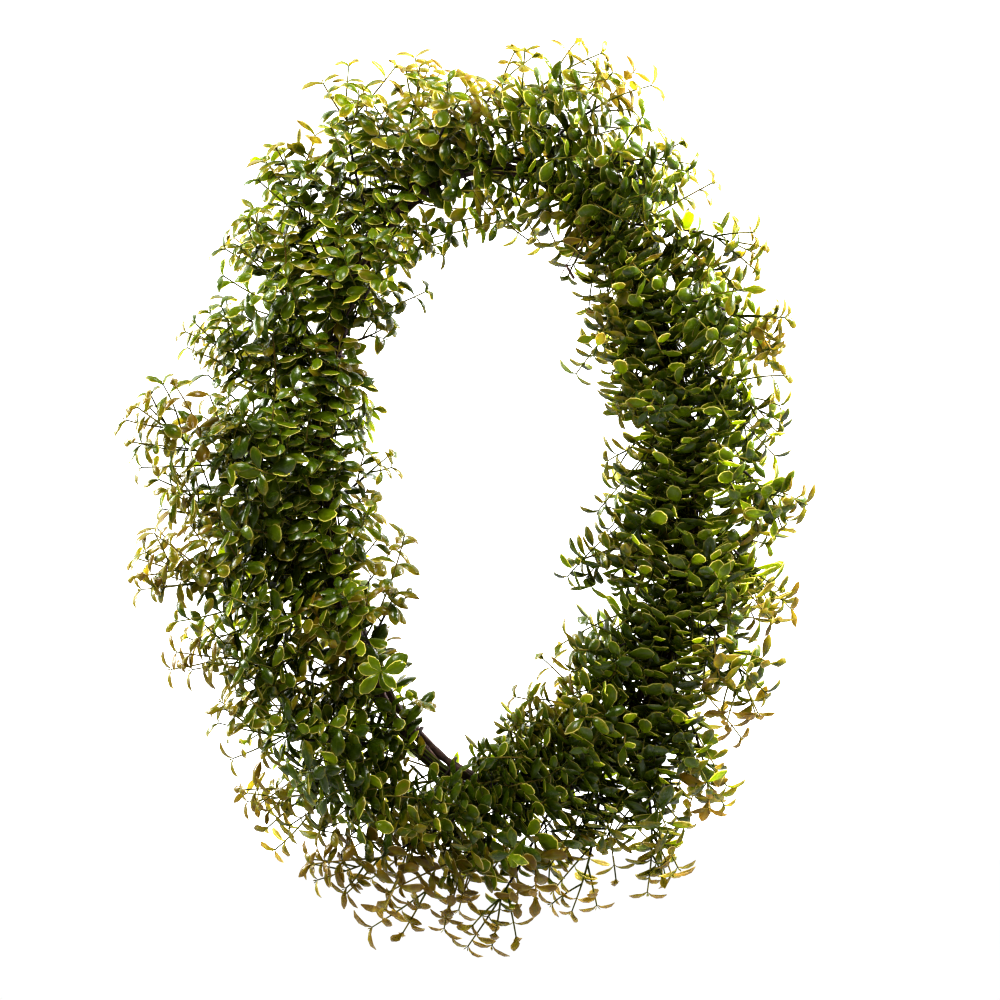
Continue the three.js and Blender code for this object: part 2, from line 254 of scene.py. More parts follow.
stemTwigs = {  # the rest of those along the stem
    "step": 8.6, "usualStem": 105, "first": 0.05, "span": 0.86, "jitter": (0.1, 0.9),
    "lookAhead": 0.02, "goldenAngle": math.radians(137.5), "turnSpread": 0.3,
    "backward": -0.35, "turnedBack": 0.75, "flatten": 0.6, "forks": (36, 62), "forkDrop": 16,
    "reaches": (0.34, 0.62), "reachDrop": 0.4, "reachExtra": 12, "least": 30, "most": 84,
    "roomExtra": 8, "roomLeast": 24,
}
ringTwigs = {  # those that cover the ring
    "step": 2.0, "leadRadius": 10.7, "leadStep": 8,
    "leanRight": math.radians(12), "leanMost": math.radians(84),
    "groups": [  # round the bundle: 0 is outwards, 90 the front, 180 into the hole
        {"chance": 0.27, "angle": 0, "spread": 40, "lean": (8, 66), "least": 46, "most": 110},
        {"chance": 0.31, "angle": 90, "spread": 50, "lean": (36, 80), "least": 34, "most": 66},
        {"chance": 0.31, "angle": 180, "spread": 42, "lean": (6, 58), "least": 42, "most": 122},
        {"chance": 0.12, "angle": 270, "spread": 40, "lean": (8, 66), "least": 24, "most": 34},
    ],
}


def bezier(a, b, c, share):
    return a * (1 - share) ** 2 + b * 2 * share * (1 - share) + c * share ** 2


def stemLine(spray):
    number, arc, angle = spray["number"], spray["arc"], spray["exitAngle"]
    winding = []
    for share in np.linspace(0, 1, stem["windingSteps"]):
        back = stem["windingTurns"] * (share - 1)
        winding.append(bundlePoint(arc + back * stem["windingPitch"], angle + back * fullTurn,
                                   stem["windingRadius"]))
    leaving = bundlePoint(arc + stem["exitAdvance"], angle + stem["exitTurn"], stem["exitRadius"])
    point, along, out = frameAt(arc)
    tip = spray["tip"]
    whole = np.linalg.norm(tip - leaving)
    end = leaving + (tip - leaving) * (1 - stem["tipAllowance"] / whole)
    length = np.linalg.norm(end - leaving)
    bow = ((leaving + end) / 2 + out * stem["bowOut"] * length * math.cos(angle)
           + front * stem["bowOut"] * length * math.sin(angle) + up * stem["bowUp"] * length
           + along * stem["bowSpread"] * length * (draw(number, 3) - 0.5))
    spray["bezier"] = (leaving, bow, end)
    spray["length"] = length
    line = [bezier(leaving, bow, end, share) for share in np.linspace(0, 1, stem["steps"])]
    line.append(end + unit(end - line[-2]) * stem["extra"])
    return winding, line


def madeTwigs(spray):
    # the two that the solids have, from the same feet to the same ends
    number, length = spray["number"], spray["length"]
    leaving, bow, end = spray["bezier"]
    found = []
    for kind, twig in enumerate(twigs["made"]):
        foot = bezier(leaving, bow, end, twig["share"])
        way = unit(bezier(leaving, bow, end, twig["share"] + 1 / 3) - foot)
        side = unit(np.cross(front, way))
        roll = twigs["roll"] * (2 * draw(number, 10 + kind) - 1)
        towardsRing = -1 if math.cos(spray["exitAngle"]) > 0 else 1
        side = turned(side, way, roll) * twig["side"] * towardsRing
        axis = unit(np.cross(way, side))
        fork = twig["fork"] * factor(twigs["forkSpread"], number, 20 + kind)
        reach = length * twig["long"] * factor(twigs["longSpread"], number, 30 + kind)
        heading = turned(way, axis, fork)
        found.append({"foot": foot, "way": way, "heading": heading,
                      "long": reach + twigs["extra"]})
    return found


def moreTwigs(spray, rng):
    # the rest, all round the stem, but seldom straight back
    leaving, bow, end = spray["bezier"]
    length = spray["length"]
    count = length * stemTwigs["span"] / stemTwigs["step"]
    count = max(2, int(count * (length / stemTwigs["usualStem"]) ** 0.5))
    turn = rng.uniform(0, fullTurn)
    found = []
    for i in range(count):
        place = i + rng.uniform(*stemTwigs["jitter"])
        share = stemTwigs["first"] + stemTwigs["span"] * place / count
        foot = bezier(leaving, bow, end, share)
        way = unit(bezier(leaving, bow, end, share + stemTwigs["lookAhead"]) - foot)
        side = unit(np.cross(front, way))
        ahead = unit(np.cross(way, side))
        turn += stemTwigs["goldenAngle"] + eitherWay(rng, stemTwigs["turnSpread"])
        facing = np.dot(math.cos(turn) * side + math.sin(turn) * ahead, front)
        if facing < stemTwigs["backward"] and rng.random() < stemTwigs["turnedBack"]:
            turn += math.pi
        across = unit(math.cos(turn) * side + math.sin(turn) * ahead * stemTwigs["flatten"])
        fork = math.radians(rng.uniform(*stemTwigs["forks"]) - stemTwigs["forkDrop"] * share)
        heading = unit(way * math.cos(fork) + across * math.sin(fork))
        room = (1 - share) * length / math.cos(fork) + stemTwigs["roomExtra"]
        reach = length * rng.uniform(*stemTwigs["reaches"]) * (1 - stemTwigs["reachDrop"] * share)
        reach = max(reach + stemTwigs["reachExtra"], stemTwigs["least"])
        reach = min(reach, stemTwigs["most"], max(room, stemTwigs["roomLeast"]))
        found.append({"foot": foot, "way": way, "heading": heading, "long": reach})
    return found


def rootTwigs(spray, rng):
    # these fork from the wound wire, run along the bundle, then rise and cover the vine
    groups = ringTwigs["groups"]
    count = round(spray["span"] / ringTwigs["step"])
    found = []
    for i in range(count):
        group = rng.choices(groups, [group["chance"] for group in groups])[0]
        angle = math.radians(group["angle"] + rng.uniform(-1, 1) * group["spread"])
        back = -((spray["exitAngle"] - angle) % fullTurn) / fullTurn
        back = max(back, -stem["windingTurns"])
        around = spray["exitAngle"] + back * fullTurn
        arc = spray["arc"] + back * stem["windingPitch"]
        ahead = spray["span"] * (i + rng.random()) / count
        turn = (angle - around + math.pi) % fullTurn - math.pi
        lead = [bundlePoint(arc, around, stem["windingRadius"])]
        for share in np.linspace(0, 1, 2 + int(ahead / ringTwigs["leadStep"]))[1:]:
            lead.append(bundlePoint(arc + ahead * share, around + turn * share,
                                    ringTwigs["leadRadius"]))
        point, along, out = frameAt(arc + ahead)
        radial = math.cos(angle) * out + math.sin(angle) * front
        lean = math.radians(rng.uniform(*group["lean"]))
        lean += ringTwigs["leanRight"] * point[0] / ring["halfWidth"]
        lean = min(lean, ringTwigs["leanMost"])
        heading = radial * math.cos(lean) + along * math.sin(lean)
        found.append({"lead": lead[:-1], "foot": lead[-1], "way": along, "heading": heading,
                      "long": rng.uniform(group["least"], group["most"])})
    return found


def fitted(twig, rng):
    # shortened until its end is inside the outline, then left out more often near the edge
    share = rng.random()
    while twig["long"] > twigs["shortest"]:
        heading = unit(twig["heading"] + twigs["follow"] / 2 * twig["way"])
        end = twig["foot"] + heading * twig["long"]
        if isInside(end, share):
            leftOut = twigs["thinner"] * max(towardsEdge(end) - twigs["thinFrom"], 0)
            return rng.random() > leftOut
        twig["long"] *= twigs["cutBack"]
    return False


def twigLine(twig, rng):
    # bends back a little towards the way that its stem goes, and sags a little
    foot, long, lead = twig["foot"], twig["long"], twig.get("lead", [])
    bentHeading = unit(twig["heading"] + twigs["follow"] * twig["way"] - twigs["sag"] * up)
    sway = np.array([rng.uniform(-1, 1) for axis in range(3)]) * twigs["sway"] * long
    middle = foot + twig["heading"] * long * 0.5 + sway
    end = foot + (twig["heading"] * 0.5 + bentHeading * 0.5) * long
    line = [bezier(foot, middle, end, share) for share in np.linspace(0, 1, twigs["steps"])]
    return lead + line, len(lead)


# The leaves: their outline from foot to tip, as shares of their length
leafForm = {
    "rows": [0, 0.13, 0.34, 0.6, 0.85, 1.0], "columns": 4,
    "widths": [0.12, 0.17, 0.71, 1.0, 0.84, 0.20],
    "thick": 0.030, "wide": 0.52, "dome": 0.50, "groove": 0.13,
}
budForm = {
    "rows": [0, 0.22, 0.48, 0.75, 1.0], "columns": 2,
    "widths": [0.14, 0.52, 1.0, 0.84, 0.18],
    "thick": 0.036, "wide": 0.54, "dome": 0.50, "groove": 0.06,
}
blade = {"bends": [14, 34, 54, 78, 104], "bendPower": 1.15, "tipMargin": 0.6,
         "wall": 0.2, "merge": 0.0005}
faceSlot, backSlot, twigSlot, wrapSlot = range(4)  # a spray's material slots


def makeLeaf(name, bend, form):
    # A grid is given two sides, then shaped: its sides meet along the margin
    bm = bmesh.new()
    rows = len(form["rows"]) - 1
    bmesh.ops.create_grid(bm, x_segments=form["columns"], y_segments=rows, size=1)
    bmesh.ops.solidify(bm, geom=bm.faces[:], thickness=blade["wall"])
    middle = sum(vert.co.z for vert in bm.verts) / len(bm.verts)
    edgeLayer = bm.verts.layers.float.new("leafEdge")
    acrossLayer = bm.verts.layers.float.new("leafAcross")
    alongLayer = bm.verts.layers.float.new("leafAlong")
    bm.verts.layers.float.new("leafAge")
    bm.verts.layers.float.new("leafLot")
    angles = [math.radians(bend) * row ** blade["bendPower"] for row in form["rows"]]
    spine = [Vector((0, 0))]
    for i in range(rows):
        span = form["rows"][i + 1] - form["rows"][i]
        angle = (angles[i] + angles[i + 1]) / 2
        spine.append(spine[-1] + Vector((math.cos(angle), -math.sin(angle))) * span)
    for face in bm.faces:
        face.smooth = True
        face.material_index = backSlot if face.normal.z < 0 else faceSlot
    for vert in bm.verts:
        row = round((vert.co.y + 1) / 2 * rows)
        across = vert.co.x
        along = form["rows"][row]
        half = form["wide"] / 2 * form["widths"][row]
        inside = 0 if row in (0, rows) else 1 - across ** 2
        lift = form["thick"] / 2 * inside * (1 if vert.co.z > middle else -1)
        lift -= half * (form["dome"] * across ** 2 + form["groove"] * (across == 0))
        angle = angles[row]
        vert.co = (across * half, spine[row].x + lift * math.sin(angle),
                   spine[row].y + lift * math.cos(angle))
        vert[edgeLayer] = min(half * (1 - abs(across)), blade["tipMargin"] * (1 - along))
        vert[acrossLayer] = across
        vert[alongLayer] = along
    bmesh.ops.remove_doubles(bm, verts=bm.verts[:], dist=blade["merge"])
    bmesh.ops.recalc_face_normals(bm, faces=bm.faces[:])
    for edge in bm.edges:
        if len({face.material_index for face in edge.link_faces}) > 1:
            edge.smooth = False
    leafMesh = bpy.data.meshes.new(name)
    bm.to_mesh(leafMesh)
    bm.free()
    return leafMesh


def addCopy(bm, source, matrix, age, lot):
    piece = source.copy()
    piece.transform(matrix)
    count = len(piece.vertices)
    piece.attributes["leafAge"].data.foreach_set("value", np.full(count, age, np.float32))
    piece.attributes["leafLot"].data.foreach_set("value", np.full(count, lot, np.float32))
    bm.from_mesh(piece)
    bpy.data.meshes.remove(piece)


def leafMatrix(foot, way, across, fork, roll, long, wide):
    side = np.cross(across, way)
    line = across * math.sin(fork) + way * math.cos(fork)
    side = turned(side, line, roll)
    face = np.cross(side, line)
    matrix = Matrix.Identity(4)
    for i in range(3):
        matrix[i][0] = side[i] * wide * mm
        matrix[i][1] = line[i] * long * mm
        matrix[i][2] = face[i] * long * mm
        matrix[i][3] = foot[i] * mm
    return matrix


# How leaves sit on a twig: lists go from the tip's pair back, and a leaf is an outer one by how
# far it passes outerFrom on the way from the ring to the edge
seats = {
    "step": 12.8, "stepSpread": (0.9, 1.1), "budStep": 0.72, "endGap": 0.5, "bareFoot": 6,
    "long": 25.2, "spread": 0.14, "twigSizes": (0.9, 1.1), "wideSpread": (0.82, 1.08),
    "shares": [0.78, 0.90, 0.98, 1.0], "wides": [0.84, 0.92, 0.98, 1.0],
    "forks": [34, 46, 50, 52], "forkSpread": 14, "aroundSpread": 0.22, "turnSpread": 0.2,
    "bends": [3, 3, 3, 2], "bendChoices": (-1, 0, 0, 1), "roll": math.radians(26),
    "outerFrom": 0.42, "outerMost": 0.7, "sparser": 0.45, "narrower": 0.14,
    "curledFrom": 0.3, "steadyFrom": 0.1, "steadyRoll": 0.45,
}
endBud = {"fork": math.radians(16), "long": 4.4, "wide": 2.4, "bend": 1, "older": 0.5}
# A leaf's age sets its colour: 0 is green and 1 is bronze
ageing = {
    "base": -0.09, "outer": 0.84, "pairs": (0.22, 0.16, 0.08, 0.0), "leafSpread": 0.18,
    # Outer leaves above the ring's middle are made younger and greener to offset the lamps' orange
    # light there: painted shade
    # Outer leaves on the right are made older, more olive and gold: partly their own colour, partly
    # painted backlight
    "olderAndBacklitRight": 0.18, "olderBelow": 0.16, "youngerAboveAsShade": 0.24,
    "stemSpread": 0.15, "twigSpread": 0.22, "oldTwig": 0.45, "oldTwigs": 0.09, "twigEnd": 0.7,
}


def leafAge(twigAge, reach, grade, foot, rng):
    age = twigAge + ageing["base"] + ageing["outer"] * reach + ageing["pairs"][grade]
    age += eitherWay(rng, ageing["leafSpread"])
    outwards = max(reach, 0)
    # older and more gold towards the right: partly the leaves' own colour, partly painted backlight
    age += ageing["olderAndBacklitRight"] * outwards * foot[0] / ring["halfWidth"]
    height = 1 + foot[2] / ring["halfHeight"]  # 0 at the ring's middle, 1 at its top
    # younger and greener towards the top is painted shade against the lamps there; older towards
    # the bottom
    older, youngerAsShade = ageing["olderBelow"] * max(-height, 0), ageing["youngerAboveAsShade"] * max(height, 0)
    age += outwards * (older - youngerAsShade)
    return min(max(age, 0), 1)


def addLeaves(bm, line, bareFoot, twigAge, rng):
    # opposite pairs from the tip back, each turned a quarter from the last
    points = np.array(line)
    steps = np.linalg.norm(np.diff(points, axis=0), axis=1)
    lengths = np.concatenate([[0.0], np.cumsum(steps)])
    left, pair, added = lengths[-1] - seats["endGap"], 0, 0
    turn = rng.uniform(0, fullTurn)
    twigSize = rng.uniform(*seats["twigSizes"])
    while left > bareFoot:
        place = min(int(np.searchsorted(lengths, left)) - 1, len(steps) - 1)
        way = unit(points[place + 1] - points[place])
        foot = points[place] + way * (left - lengths[place])
        first = unit(np.cross(way, nearlyFront))
        grade = min(pair, len(seats["shares"]) - 1)
        reach = towardsEdge(foot) - seats["outerFrom"]
        outwards = min(max(reach, 0), seats["outerMost"])
        meshes = budMeshes if pair == 0 else leafMeshes
        for half in range(2):
            azimuth = turn + half * math.pi + eitherWay(rng, seats["aroundSpread"])
            across = turned(first, way, azimuth)
            fork = math.radians(seats["forks"][grade] + eitherWay(rng, seats["forkSpread"]))
            size = twigSize * rng.uniform(1 - seats["spread"], 1 + seats["spread"])
            long = seats["long"] * seats["shares"][grade] * size
            wide = long * seats["wides"][grade] * rng.uniform(*seats["wideSpread"])
            wide *= 1 - seats["narrower"] * outwards
            bend = seats["bends"][grade] + rng.choice(seats["bendChoices"])
            bend = min(max(bend + (reach > seats["curledFrom"]), 0), len(meshes) - 1)
            roll = rng.uniform(-1, 1) * seats["roll"]
            roll *= 1 if reach < seats["steadyFrom"] else seats["steadyRoll"]
            age = leafAge(twigAge, reach, grade, foot, rng)
            tip = foot + (across * math.sin(fork) + way * math.cos(fork)) * long
            if not depthLimits["back"] > tip[1] > depthLimits["front"]:
                continue
            matrix = leafMatrix(foot, way, across, fork, roll, long, wide)
            addCopy(bm, meshes[bend], matrix, age, rng.random())
            added += 1
        turn += math.pi / 2 + eitherWay(rng, seats["turnSpread"])
        apart = 1 + seats["sparser"] * outwards
        apart = seats["step"] * apart * (seats["budStep"] if pair == 0 else 1)
        left -= apart * rng.uniform(*seats["stepSpread"])
        pair += 1
    # the bud at the twig's end
    first = unit(np.cross(points[-1] - points[-2], front))
    age = min(twigAge + endBud["older"], 1)
    for half in range(2):
        across = turned(first, way, turn + half * math.pi)
        matrix = leafMatrix(points[-1], way, across, endBud["fork"], 0,
                            endBud["long"], endBud["wide"])
        addCopy(bm, budMeshes[endBud["bend"]], matrix, age, rng.random())
    return added


def addTube(bm, line, radii, ages=0.0, slot=0, rounds=1):
    curve = bpy.data.curves.new("line", "CURVE")
    curve.dimensions = "3D"
    curve.bevel_depth = mm
    curve.bevel_resolution = rounds
    curve.use_fill_caps = True
    spline = curve.splines.new("POLY")
    spline.points.add(len(line) - 1)
    for point, place, radius in zip(spline.points, line, radii):
        point.co = (*(place * mm), 1)
        point.radius = radius
    holder = bpy.data.objects.new("line", curve)
    tube = bpy.data.meshes.new_from_object(holder)
    count = len(tube.vertices)
    values = np.repeat(np.full(len(line), ages, np.float32), count // len(line))
    values = np.resize(values, count)
    tube.attributes.new("leafAge", "FLOAT", "POINT").data.foreach_set("value", values)
    tube.polygons.foreach_set("material_index", np.full(len(tube.polygons), slot, np.int32))
    tube.polygons.foreach_set("use_smooth", np.ones(len(tube.polygons), bool))
    bm.from_mesh(tube)
    bpy.data.objects.remove(holder)
    bpy.data.curves.remove(curve)
    bpy.data.meshes.remove(tube)


def finished(name, bm, materials, slotName, *nodes):
    piece = bpy.data.objects.new(name, bpy.data.meshes.new(name))
    bm.to_mesh(piece.data)
    bm.free()
    for material in materials:
        piece.data.materials.append(material)
    bpy.context.scene.collection.objects.link(piece)
    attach(piece, "root")
    if nodes:
        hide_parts(*nodes)


def makeSpray(spray):
    rng = random.Random(stem["seed"] + spray["number"])
    winding, line = stemLine(spray)
    bm = bmesh.new()
    brown = int(len(line) * stem["brownShare"])
    brownLine, greenLine = winding + line[:brown + 1], line[brown:]
    radii = np.linspace(stem["radius"], stem["radius"] * stem["brownTaper"], len(brownLine))
    addTube(bm, brownLine, radii, slot=wrapSlot)
    radii = np.linspace(stem["radius"] * stem["greenShare"], stem["endRadius"], len(greenLine))
    addTube(bm, greenLine, radii, np.linspace(*stem["greenAges"], len(greenLine)), twigSlot)
    age = eitherWay(rng, ageing["stemSpread"])
    count = addLeaves(bm, line, spray["length"] * stem["bareShare"], age, rng)
    grown = moreTwigs(spray, rng) + rootTwigs(spray, rng)
    for twig in madeTwigs(spray) + [twig for twig in grown if fitted(twig, rng)]:
        path, leads = twigLine(twig, rng)
        leadSteps = np.linalg.norm(np.diff(path[:leads + 1], axis=0), axis=1)
        age = eitherWay(rng, ageing["twigSpread"])
        age += ageing["oldTwig"] if rng.random() < ageing["oldTwigs"] else 0
        ages = np.linspace(max(age, 0), min(age + ageing["twigEnd"], 1), len(path))
        radii = np.linspace(twigs["radius"], twigs["endRadius"], len(path))
        addTube(bm, path, radii, ages, twigSlot)
        count += addLeaves(bm, path, seats["bareFoot"] + sum(leadSteps), age, rng)
    number = f"{spray['number']:02d}"
    materials = [leafFace, leafBack, twigBark, stemWrap]
    finished("leafySpray" + number, bm, materials, "foliage", "spray_" + number)
    return count


vineForm = {
    "steps": 150, "rounds": 4, "thickness": 0.93, "swelling": 0.1, "swellingScale": 0.05,
    "bark": 0.35, "ridges": (140, 900, 140),
}
vineShoots = {
    "seed": 7, "arcs": [0.07, 0.115, 0.13, 0.15, 0.27, 0.38, 0.63, 0.72, 0.86, 0.93],
    "long": (34, 62), "steps": 9, "radii": (1.0, 0.45), "root": 1,
    "rise": 6, "lift": 0.42, "liftPower": 1.6,
    "wander": 3, "wanderScale": 0.1, "wanderStep": 2,
}
curl = {  # x and z in the photo's plane, for a stub and the tendrils that hold it
    "depth": -12, "steps": (0, 0.33, 0.66),
    "radii": {"shoot": (0.8, 0.4), "tendril": (0.45, 0.3), "stub": (1.0, 1.35)},
    "shoot": [(69, -20), (66, -40), (61, -58), (54, -70), (50, -76), (45, -85)],
    "tendril": [(66, -44), (62, -64), (58, -74), (52, -78), (46, -80), (43, -78), (45, -74)],
    "stub": [(50, -74), (53, -79), (57, -86)],
}


def vineLine(firstTurn, turns):
    line = []
    for turn in np.linspace(firstTurn, firstTurn + turns, int(turns * vineForm["steps"])):
        lane = fullTurn * (ring["twists"] + 1 / ring["lanes"]) * turn
        point, along, out = ringAt(fullTurn * turn, ringMiddleZ)
        line.append(point + ring["layRadius"] * (math.cos(lane) * out + math.sin(lane) * front))
    return line


def makeVine(name, firstTurn, turns, node):
    line = vineLine(firstTurn, turns)
    bm = bmesh.new()
    radii = []
    for place in line:
        swelling = noise.noise(Vector(place) * vineForm["swellingScale"])
        thickness = vineForm["thickness"] + vineForm["swelling"] * swelling
        radii.append(ring["strandRadius"] * thickness)
    addTube(bm, line, radii, rounds=vineForm["rounds"])
    bm.normal_update()
    for vert in bm.verts:
        place = Vector([part * scale for part, scale in zip(vert.co, vineForm["ridges"])])
        vert.co += vert.normal * noise.noise(place) * vineForm["bark"] * mm
    finished(name, bm, [vineBark], "vine", node)


def shootLine(arc, angle, long):
    point, along, out = frameAt(arc)
    radial = math.cos(angle) * out + math.sin(angle) * front
    start = bundlePoint(arc, angle, ring["layRadius"] + vineShoots["root"])
    line = []
    for step in np.linspace(0, 1, vineShoots["steps"]):
        rise = vineShoots["rise"] * step
        rise += vineShoots["lift"] * long * step ** vineShoots["liftPower"]
        place = Vector(start) * vineShoots["wanderScale"]
        place += Vector((step * vineShoots["wanderStep"], 0, 0))
        wander = noise.noise_vector(place) * vineShoots["wander"] * step
        line.append(start + along * long * step + radial * rise + wander)
    return line


def makeVineShoots():
    # a few thin side twigs, and the stub with its tendrils at the upper right of the hole
    rng = random.Random(vineShoots["seed"])
    noise.seed_set(vineShoots["seed"])  # without it noise_vector goes by the clock
    bm = bmesh.new()
    for share in vineShoots["arcs"]:
        angle = rng.uniform(0, fullTurn)
        line = shootLine(share * ringLength, angle, rng.uniform(*vineShoots["long"]))
        addTube(bm, line, np.linspace(*vineShoots["radii"], len(line)))
    for name, radii in curl["radii"].items():
        places = [np.array([x, curl["depth"], z]) for x, z in curl[name]]
        line = []
        for a, b, c in zip(places, places[1:], places[2:]):
            line += [bezier((a + b) / 2, b, (b + c) / 2, step) for step in curl["steps"]]
        line = [places[0], *line, places[-1]]
        addTube(bm, line, np.linspace(*radii, len(line)))
    finished("vineShoots", bm, [vineBark], "vine")


def newMaterial(name):
    material = bpy.data.materials.new(name)
    material.use_nodes = True
    tree = material.node_tree
    tree.nodes.clear()
    return material, tree


def node(tree, kind, settings=None, **sockets):
    # a socket is given by its name, or by its number as i0, i1 and so on
    made = tree.nodes.new("ShaderNode" + kind)
    for key, value in (settings or {}).items():
        setattr(made, key, value)
    for key, value in sockets.items():
        numbered = key[0] == "i" and key[1:].isdigit()
        socket = made.inputs[int(key[1:]) if numbered else key]
        if isinstance(value, bpy.types.NodeSocket):
            tree.links.new(value, socket)
        else:
            socket.default_value = value
    return made


def attribute(tree, name):
    return node(tree, "Attribute", {"attribute_name": name}).outputs["Fac"]


def maths(tree, operation, a, b=0.0, clamp=False):
    made = node(tree, "Math", {"operation": operation, "use_clamp": clamp}, i0=a, i1=b)
    return made.outputs[0]


def weighted(tree, a, shareA, b, shareB):
    return maths(tree, "ADD", maths(tree, "MULTIPLY", a, shareA),
                 maths(tree, "MULTIPLY", b, shareB))


def varied(tree, value, pattern, amount):
    # a pattern's middle, one half, leaves the value as it is
    change = maths(tree, "MULTIPLY", maths(tree, "SUBTRACT", pattern, 0.5), amount)
    return maths(tree, "ADD", value, change)


def ramp(tree, value, stops):
    made = node(tree, "ValToRGB", None, Fac=value)
    elements = made.color_ramp.elements
    while len(elements) < len(stops):
        elements.new(0.5)
    for element, (place, colour) in zip(elements, stops):
        element.position = place
        element.color = (*colour, 1)
    return made.outputs["Color"]


def mixColour(tree, share, a, b, blend="MIX"):
    made = node(tree, "Mix", {"data_type": "RGBA", "blend_type": blend}, i0=share, i6=a, i7=b)
    return made.outputs[2]


def ranged(tree, value, low, high, toLow=0.0, toHigh=1.0):
    made = node(tree, "MapRange", {"interpolation_type": "SMOOTHSTEP"}, i0=value, i1=low, i2=high,
                i3=toLow, i4=toHigh)
    return made.outputs[0]


def patches(tree, scale, detail=2.0, stretch=(1, 1, 1)):
    place = node(tree, "TexCoord").outputs["Object"]
    place = node(tree, "Mapping", None, Vector=place, Scale=stretch).outputs[0]
    return node(tree, "TexNoise", None, Vector=place, Scale=scale, Detail=detail).outputs[0]


leafLook = {
    "green": [(0.0, (0.020, 0.032, 0.001)), (0.4, (0.051, 0.092, 0.001)),
              (0.8, (0.138, 0.198, 0.002)), (1.0, (0.220, 0.282, 0.003))],
    "greenByLeaf": 0.7, "greenByPatch": 0.4, "patches": (260, 3), "grain": (1500, 2),
    "aged": [(0.0, (0.064, 0.088, 0.001)), (0.35, (0.170, 0.162, 0.001)),
             (0.7, (0.245, 0.204, 0.003)), (1.0, (0.215, 0.132, 0.003))],
    "agedByPatch": 0.7, "agedByRim": 0.40, "agedLess": 0.21, "agedMix": (0.15, 0.55),
    "ribWide": (0.03, 0.11), "ribEnd": (0.75, 0.98),
    "veinCount": 46.0, "veinSlant": 11.0, "veinSharp": 5.0, "veinShare": 0.35,
    "veinColour": (0.18, 0.25, 0.012, 1), "veinMix": 0.45,
    "backColour": (0.190, 0.210, 0.022, 1), "backMix": 0.42,
}
marginLook = {
    "cream": (0.92, 0.84, 0.24, 1), "wide": (0.017, 0.030), "wander": 0.05,
    "byLeaf": (0.38, 0.84, 0.06, 1.0), "byAge": (0.3, 0.8, 1.0, 0.5), "foot": (0.12, 0.3),
    "backShare": 0.55,
}
shineLook = {
    "bump": 0.25, "depth": 0.0002, "grainShare": 0.6, "faceRoughness": (0.3, 0.7, 0.19, 0.30),
    "backRoughness": 0.42, "faceSpecular": 0.5, "backSpecular": 0.15,
}
glowLook = {  # the light through a leaf: its tint when young, grown and old, and its share
    "gamma": 0.45, "young": (1.36, 1.38, 0.6, 1), "grown": (1.50, 1.44, 1.7, 1),
    "old": (1.18, 1.06, 1.1, 1), "grownMix": (0.15, 0.6), "oldMix": (0.5, 0.95),
    "byAge": (0.1, 0.7, 0.0, 0.42), "byLeaf": (0.15, 0.95, 0.12, 0.64),
}


def leafColour(tree, isBack, patch, age, lot, along, across):
    # green by leaf and patch, then olive and bronze with age, first at the tip and the rim
    tone = weighted(tree, lot, leafLook["greenByLeaf"], patch, leafLook["greenByPatch"])
    green = ramp(tree, tone, leafLook["green"])
    agedTone = varied(tree, age, patch, leafLook["agedByPatch"])
    rim = maths(tree, "ADD", maths(tree, "POWER", along, 2.0),
                maths(tree, "MULTIPLY", across, across))
    rim = maths(tree, "MULTIPLY", rim, leafLook["agedByRim"])
    agedTone = maths(tree, "ADD", agedTone, rim)
    agedTone = maths(tree, "SUBTRACT", agedTone, leafLook["agedLess"], True)
    aged = ramp(tree, agedTone, leafLook["aged"])
    colour = mixColour(tree, ranged(tree, agedTone, *leafLook["agedMix"]), green, aged)
    # a lighter rib and veins
    size = maths(tree, "ABSOLUTE", across)
    rib = ranged(tree, size, *leafLook["ribWide"], 1.0, 0.0)
    rib = maths(tree, "MULTIPLY", rib, ranged(tree, along, *leafLook["ribEnd"], 1.0, 0.0))
    vein = maths(tree, "SUBTRACT", maths(tree, "MULTIPLY", along, leafLook["veinCount"]),
                 maths(tree, "MULTIPLY", size, leafLook["veinSlant"]))
    vein = maths(tree, "MAXIMUM", maths(tree, "SINE", vein), 0.0)
    vein = maths(tree, "POWER", vein, leafLook["veinSharp"])
    veins = maths(tree, "MAXIMUM", rib, maths(tree, "MULTIPLY", vein, leafLook["veinShare"]))
    lighter = mixColour(tree, 0.5, colour, leafLook["veinColour"])
    veinMix = maths(tree, "MULTIPLY", veins, leafLook["veinMix"])
    colour = mixColour(tree, veinMix, colour, lighter)
    if isBack:
        colour = mixColour(tree, leafLook["backMix"], colour, leafLook["backColour"])
    return colour, agedTone, veins


def creamMargin(tree, isBack, patch, age, lot, along, edge):
    wide = varied(tree, edge, patch, marginLook["wander"])
    margin = ranged(tree, wide, *marginLook["wide"], 1.0, 0.0)
    margin = maths(tree, "MULTIPLY", margin, ranged(tree, lot, *marginLook["byLeaf"]))
    margin = maths(tree, "MULTIPLY", margin, ranged(tree, age, *marginLook["byAge"]))
    margin = maths(tree, "MULTIPLY", margin, marginLook["backShare"] if isBack else 1.0)
    return maths(tree, "MULTIPLY", margin, ranged(tree, along, *marginLook["foot"]))


